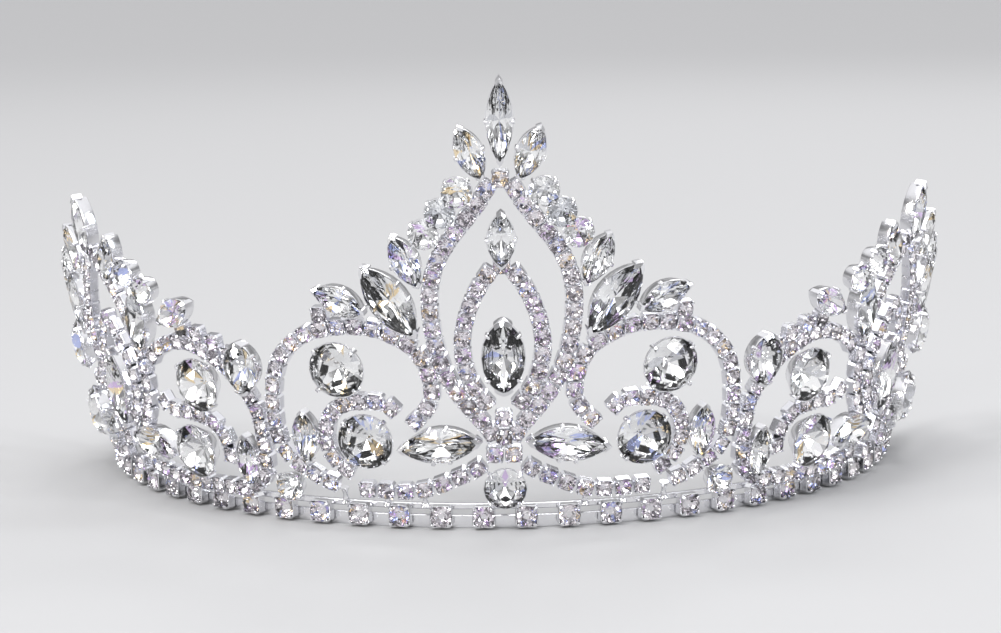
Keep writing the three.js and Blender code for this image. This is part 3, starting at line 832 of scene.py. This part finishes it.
def build_wing(side, word):
    chain_piece(f"{word}_bottom_leg", half(BOTTOM_LEG, 0, side), f"{word}_bottom_leg")
    chain_piece(f"{word}_wing_arch", half(WING_ARCH, 0, side), f"{word}_wing_arch")
    chain_piece(f"{word}_swirl", half(SWIRL, 0, side), f"{word}_swirl")
    set_at_node(f"{word}_upper_round", BIG, split=True)
    set_at_node(f"{word}_lower_round", BIG)
    set_at_node(f"{word}_crest_navette", SMALL, side * 22)
    set_at_node(f"{word}_level_navette", LEVEL, side * 96)
    set_at_node(f"{word}_fan_large_navette", LARGE, side * 35)
    set_at_node(f"{word}_fan_upper_navette", SMALL, side * 25)
    set_at_node(f"{word}_fan_outer_navette", SMALL, side * 65)
    set_at_node(f"{word}_junction_oval", JUNCTION, out=JUNCTION_OUT)
    set_at_node(f"{word}_junction_round", FIVE)
    filler_piece(f"{word}_fan_tip", half([FAN_TIP], 0, side))
    setting_piece(f"{word}_wing_navette", SMALL, seat(side * WING_NAVETTE[0], WING_NAVETTE[1]))
    stones, metals = Pile(), Pile()
    for s, h in half(SHOULDER_STONES, 0, side):
        FIVE.place(stones, metals, seat(s, h))
    metal = metals.piece(f"{word}_shoulder_claws", [RHODIUM], "rhodium", smooth=35)
    stones.piece(f"{word}_shoulder_gems", STONE_MATERIALS, "crystal")
    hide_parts(f"{word}_shoulder_rounds")


def build_side(side, word):
    centre = side * SIDE_CENTRE
    chain_piece(f"{word}_side_outer_arch", bent_over(SIDE_OUTER_ARCH, centre), f"{word}_side_crest")
    chain_piece(f"{word}_side_inner", bent_over(SIDE_INNER_LOOP, centre),
                f"{word}_side_inner_loop")
    setting_piece(f"{word}_side_spire", SIDE_SPIRE, seat(centre, SIDE_SPIRE_HEIGHT))
    setting_piece(f"{word}_side_centre_navette", LARGE, seat(centre, SIDE_NAVETTE_HEIGHT))
    filler_piece(f"{word}_side_base", [(centre, SIDE_BASE_HEIGHT)])
    braces = Pile()
    for reach, _ in REACHES:
        for route in SIDE_BRACES:
            lay_brace(braces, half(route, centre, side * reach))
    braces.piece(f"{word}_side_braces", [RHODIUM], "rhodium", smooth=35)
    for reach, part in REACHES:
        lean = side * reach
        chain_piece(f"{word}_side_{part}_arch", half(SIDE_WING_ARCH, centre, lean),
                    f"{word}_side_{part}_arch")
        chain_piece(f"{word}_side_{part}_swirl", half(SIDE_SWIRL, centre, lean),
                    f"{word}_side_{part}_swirl")
        filler_piece(f"{word}_side_{part}_row", half(SIDE_ROW, centre, lean))
        set_at_node(f"{word}_side_{part}_upper_round", BIG)
        set_at_node(f"{word}_side_{part}_lower_round", BIG)
        for name, setting, s, h, turn in SIDE_STONES:
            setting_piece(f"{word}_side_{part}_{name}", setting,
                          seat(centre + lean * s, h, lean * turn))


# ---------------------------------------------------------------- camera, floor and light

CAMERA_DISTANCE = 420.0
CAMERA_ELEVATION = math.radians(9.14)
CAMERA_AZIMUTH = math.radians(-0.27)
CAMERA_ROLL = math.radians(0.95)
CAMERA_LENS = 91.3
CAMERA_SENSOR = 36.0
PIVOT_RISE = 30.0
AIM_OFFSET = Vector((-0.25, 0, 5.7))

FLOOR_REACH = 6.0
FLOOR_COLOUR = (0.4, 0.4, 0.405, 1)
FLOOR_ROUGHNESS = 0.8
WALL_FOOT = -0.1
# The walls' grey by height, from just below the horizon (0) to straight up (1): pale, with one
# darker band for the facets to pick up.
WALL_ENDS = ((0.42, 0.42, 0.43, 1), (1.0, 1.0, 1.02, 1))
WALL_LEVELS = ((0.14, 0.44), (0.22, 0.66), (0.3, 0.34), (0.42, 0.22), (0.5, 0.45), (0.6, 0.9),
               (0.78, 1.05))
LAMP_TARGET = (0, -0.03, 0.04)
WHITE, WARM, COOL = (1, 1, 1), (1, 0.96, 0.9), (0.9, 0.95, 1)
# Each lamp's name, place and size in metres, watts and colour.
LAMPS = (("key_softbox", (-0.7, -0.9, 1.0), (0.35, 0.35), 7, WHITE),
         ("fill_softbox", (0.9, -0.8, 0.6), (0.2, 0.5), 4, WHITE),
         ("front_strip", (-0.2, -1.4, 0.6), (0.5, 0.1), 5, WHITE),
         ("left_strip", (-1.3, -0.5, 0.35), (0.08, 0.5), 5, WARM),
         ("right_strip", (1.3, -0.3, 0.45), (0.08, 0.5), 5, COOL),
         ("rear_softbox", (0.3, 1.1, 0.9), (0.5, 0.3), 3, WHITE))
OVERCAST_PLACE = (-0.3, -0.6, 1.5)
OVERCAST_STRENGTH = 1.6
OVERCAST_ANGLE = math.radians(60)


def aim(obj, place, target, roll=0.0):
    forward = (target - place).normalized()
    right = forward.cross(Vector((0, 0, 1))).normalized()
    up = right.cross(forward)
    turned_right = right * math.cos(roll) - up * math.sin(roll)
    turned_up = right * math.sin(roll) + up * math.cos(roll)
    basis = Matrix((turned_right, turned_up, -forward)).transposed().to_4x4()
    obj.matrix_world = Matrix.Translation(place) @ basis


def build_camera():
    """The camera stands in front of the tiara, a little above it, with a short telephoto lens."""
    pivot = Vector((0, cone_point(0, 0).y, PIVOT_RISE))
    level = math.cos(CAMERA_ELEVATION)
    away = Vector((math.sin(CAMERA_AZIMUTH) * level, -math.cos(CAMERA_AZIMUTH) * level,
                   math.sin(CAMERA_ELEVATION)))
    data = bpy.data.cameras.new("camera")
    data.sensor_fit = "HORIZONTAL"
    data.sensor_width = CAMERA_SENSOR
    data.lens = CAMERA_LENS
    data.clip_start = 0.01
    camera = bpy.data.objects.new("camera", data)
    bpy.context.scene.collection.objects.link(camera)
    aim(camera, (pivot + away * CAMERA_DISTANCE) * MM, (pivot + AIM_OFFSET) * MM, CAMERA_ROLL)
    bpy.context.scene.camera = camera


def area_light(name, place, size, power, colour):
    data = bpy.data.lights.new(name, "AREA")
    data.shape = "RECTANGLE"
    data.size, data.size_y = size
    data.energy = power
    data.color = colour
    lamp = bpy.data.objects.new(name, data)
    bpy.context.scene.collection.objects.link(lamp)
    aim(lamp, Vector(place), Vector(LAMP_TARGET))


def build_floor():
    mesh = bpy.data.meshes.new("floor")
    corners = [(x * FLOOR_REACH, y * FLOOR_REACH, 0) for x, y in ((-1, -1), (1, -1), (1, 1), (-1, 1))]
    mesh.from_pydata(corners, [], [(0, 1, 2, 3)])
    floor = bpy.data.objects.new("floor", mesh)
    bpy.context.scene.collection.objects.link(floor)
    material, _, _, shader = new_material("floor_paper")
    shader.inputs["Base Color"].default_value = FLOOR_COLOUR
    shader.inputs["Roughness"].default_value = FLOOR_ROUGHNESS
    mesh.materials.append(material)


def build_walls():
    world = bpy.data.worlds.new("studio")
    bpy.context.scene.world = world
    world.use_nodes = True
    nodes, links = world.node_tree.nodes, world.node_tree.links
    place = nodes.new("ShaderNodeTexCoord")
    split = nodes.new("ShaderNodeSeparateXYZ")
    rise = nodes.new("ShaderNodeMapRange")
    ramp = nodes.new("ShaderNodeValToRGB")
    rise.inputs["From Min"].default_value = WALL_FOOT
    rise.inputs["From Max"].default_value = 1.0
    stops = ramp.color_ramp.elements
    for stop, position, colour in zip(stops, (0.0, 1.0), WALL_ENDS):
        stop.position, stop.color = position, colour
    for position, level in WALL_LEVELS:
        stop = stops.new(position)
        stop.color = (level, level, level * 1.02, 1)
    links.new(place.outputs["Generated"], split.inputs["Vector"])
    links.new(split.outputs["Z"], rise.inputs["Value"])
    links.new(rise.outputs["Result"], ramp.inputs["Fac"])
    links.new(ramp.outputs["Color"], nodes["Background"].inputs["Color"])


def build_lights():
    for lamp in LAMPS:
        area_light(*lamp)
    sun = bpy.data.lights.new("overcast", "SUN")
    sun.energy = OVERCAST_STRENGTH
    sun.angle = OVERCAST_ANGLE
    overcast = bpy.data.objects.new("overcast", sun)
    bpy.context.scene.collection.objects.link(overcast)
    aim(overcast, Vector(OVERCAST_PLACE), Vector(LAMP_TARGET))


bpy.context.scene.view_settings.view_transform = "Standard"
build_camera()
build_floor()
build_walls()
build_lights()
build_band()
build_solder()
build_centre()
for side_sign, side_word in SIDES:
    build_hairpin_loop(side_word)
    build_wing(side_sign, side_word)
    build_side(side_sign, side_word)
